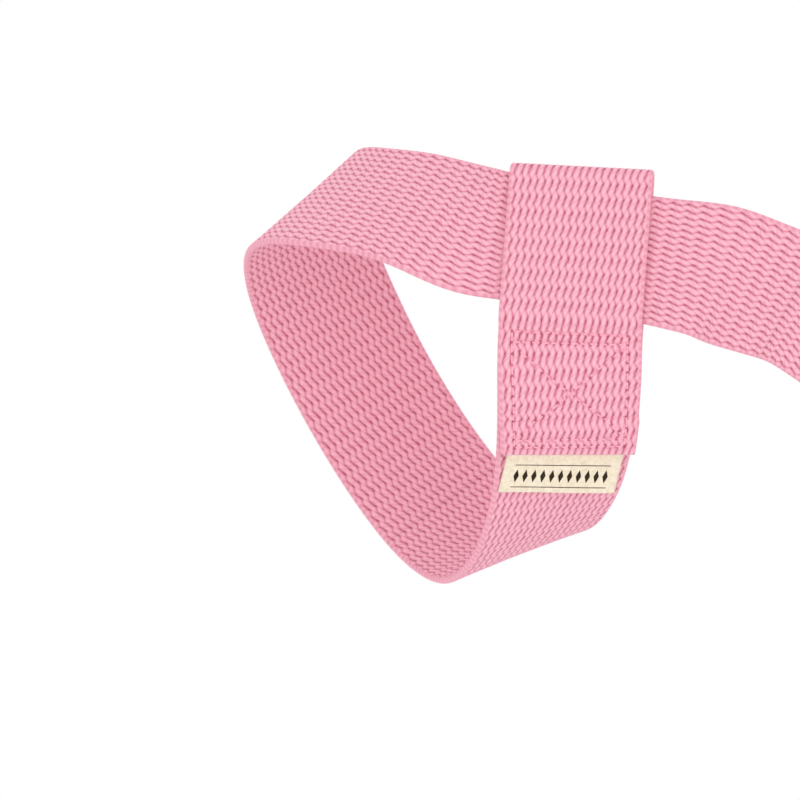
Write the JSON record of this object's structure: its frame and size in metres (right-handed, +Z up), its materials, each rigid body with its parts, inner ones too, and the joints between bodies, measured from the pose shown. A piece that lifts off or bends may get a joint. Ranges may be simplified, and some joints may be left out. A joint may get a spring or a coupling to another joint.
{
  "type": "stretching strap",
  "caption": "Flat webbing strap with a sewn slip eye at each end, each eye drawn round a roll, and a carrying loop hanging between them.",
  "frame": {"origin": "on the axis of the roll the eyes are drawn round, midway between the two eyes", "axes": "+X along the roll's axis, -Y the front with the carrying loop and the box stitches, +Z up"},
  "size_m": [0.4706, 0.128, 0.3689],
  "materials": {
    "webbing": "ribbed cotton webbing",
    "thread": "sewing thread",
    "label": "cotton tape"
  },
  "bodies": {
    "mat_wraps": {"left_wrap_back": "webbing", "left_wrap_top": "webbing", "left_crossing": "webbing", "right_wrap_back": "webbing", "right_wrap_top": "webbing", "right_crossing": "webbing"},
    "left_eye": {"left_eye_webbing": "webbing", "left_box_stitch": "thread", "left_wrap_bottom": "webbing", "label_tuck": "label"},
    "right_eye": {"right_eye_webbing": "webbing", "right_box_stitch": "thread", "right_wrap_bottom": "webbing"},
    "label_flap": {"label": "label"},
    "carry_strap": {"left_carry_bend": "webbing", "left_carry_drop": "webbing", "carry_bottom": "webbing", "right_carry_drop": "webbing", "right_carry_bend": "webbing"}
  },
  "joints": [
    {"name": "left_eye_slide", "type": "slide", "parent": "mat_wraps", "child": "left_eye", "axis": [0.7934, -0.379, -0.4764], "range_m": [-0.003, 0.006], "deforming": ["left_wrap_bottom"]},
    {"name": "right_eye_slide", "type": "slide", "parent": "mat_wraps", "child": "right_eye", "axis": [-0.7934, -0.379, -0.4764], "range_m": [-0.003, 0.006], "deforming": ["right_wrap_bottom"]},
    {"name": "label_lift", "type": "hinge", "parent": "left_eye", "child": "label_flap", "pos_m": [-0.17694, -0.05237, -0.01366], "axis": [-0.8341, -0.1134, 0.5398], "range_deg": [0, 80], "stiffness_Nm_per_rad": 0.0003},
    {"name": "carry_swing", "type": "hinge", "parent": "mat_wraps", "child": "carry_strap", "pos_m": [0, -0.0546, -0.0027], "axis": [-1, 0, 0], "range_deg": [0, 90], "deforming": ["left_carry_bend", "right_carry_bend"]}
  ]
}
